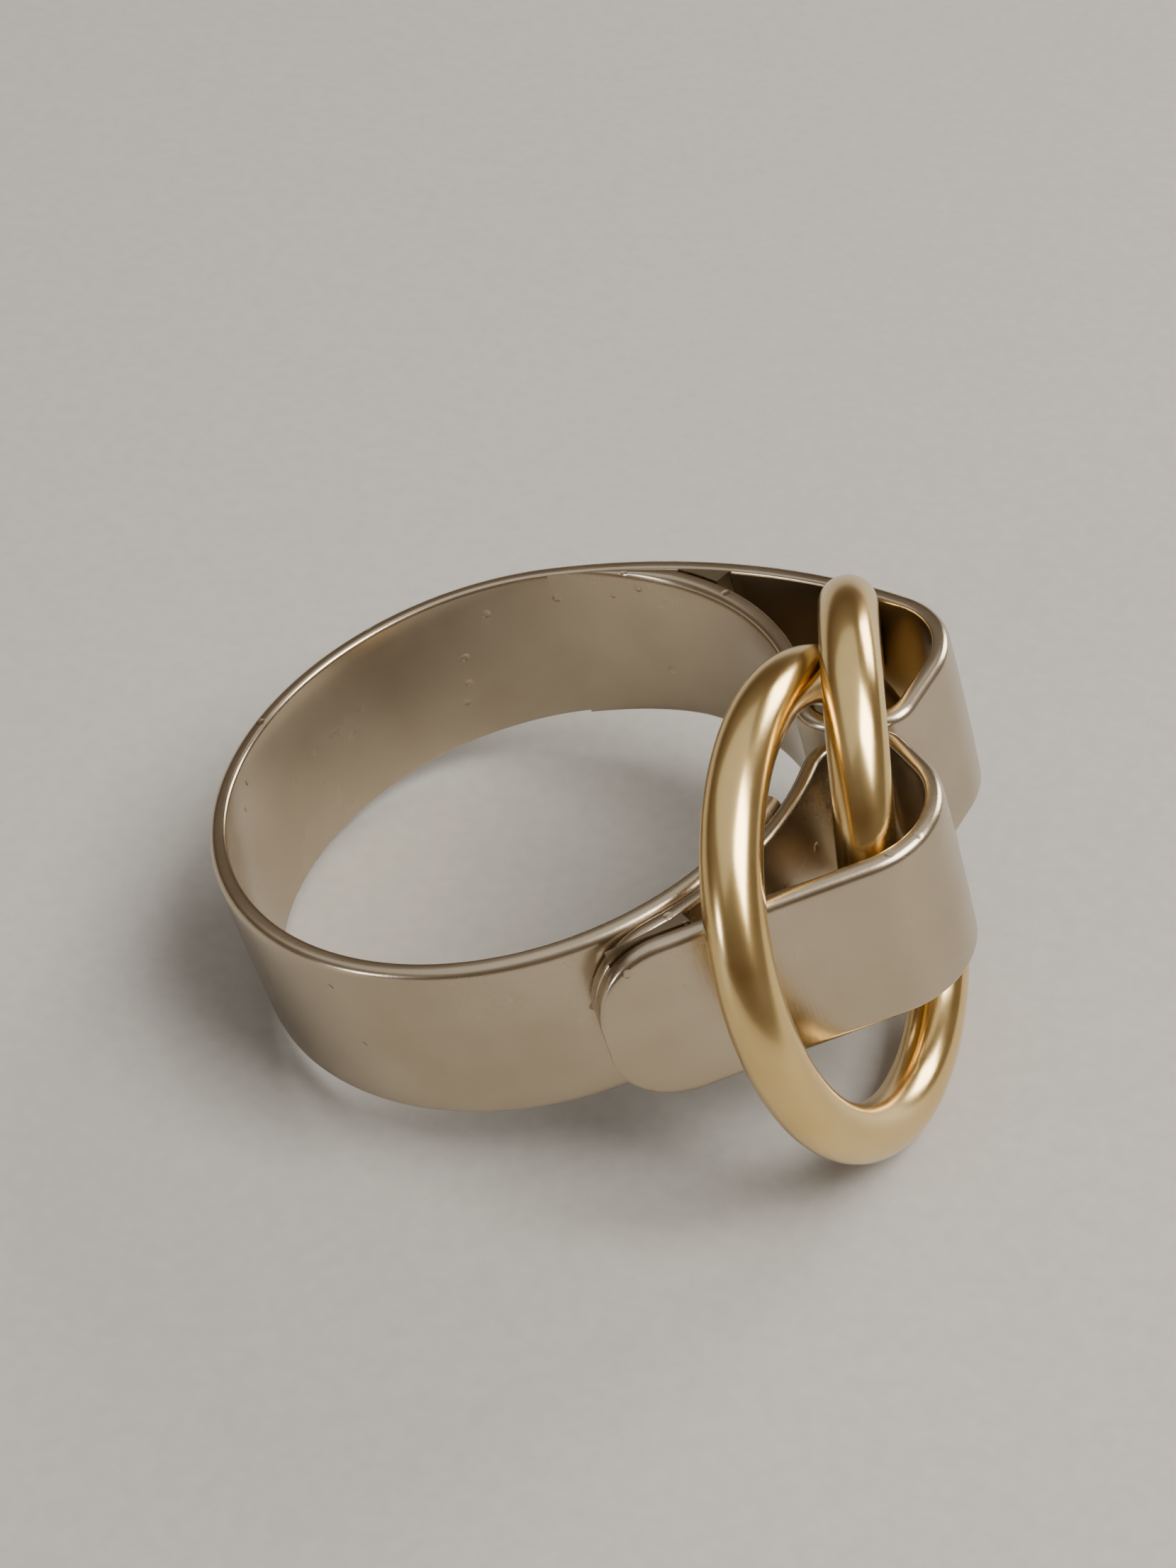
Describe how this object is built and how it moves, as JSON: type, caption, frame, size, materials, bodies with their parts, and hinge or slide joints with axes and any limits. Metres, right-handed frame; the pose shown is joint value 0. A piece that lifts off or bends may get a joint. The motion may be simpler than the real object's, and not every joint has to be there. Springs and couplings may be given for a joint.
{
  "type": "finger ring with loose hoops",
  "caption": "Finger ring: a flat silver band whose head is a pair of bent loops, tied together by loose gold wire hoops that turn freely.",
  "frame": {"origin": "centre of the finger bore, on its axis and halfway across the band's width", "axes": "-Z along the finger bore, towards the side that a finger or a post comes in from; +X from the bore towards the looped head; +Y towards the far loop, whose strap grows smoothly out of the band"},
  "size_m": [0.0224, 0.0199, 0.0144],
  "materials": {
    "silver": "polished and worn sterling silver, warm and slightly tarnished",
    "silver_solder": "filed hard silver solder with fine pits",
    "gold": "polished pale yellow 18 carat gold wire"
  },
  "bodies": {
    "ring": {"band": "silver", "near_loop": "silver", "far_loop": "silver", "valley_seam": "silver_solder", "near_solder": "silver_solder", "far_solder": "silver_solder"},
    "near_hoop": {"near_hoop": "gold"},
    "far_hoop": {"far_hoop": "gold"}
  },
  "joints": [
    {"name": "near_hoop_turn", "type": "hinge", "parent": "ring", "child": "near_hoop", "pos_m": [0.00979, -0.00351, -0.00068], "axis": [0.972, -0.1418, 0.1874], "continuous": true},
    {"name": "far_hoop_turn", "type": "hinge", "parent": "ring", "child": "far_hoop", "pos_m": [0.01023, 0.00034, 0.00056], "axis": [0.981, 0.1536, -0.1184], "continuous": true}
  ]
}
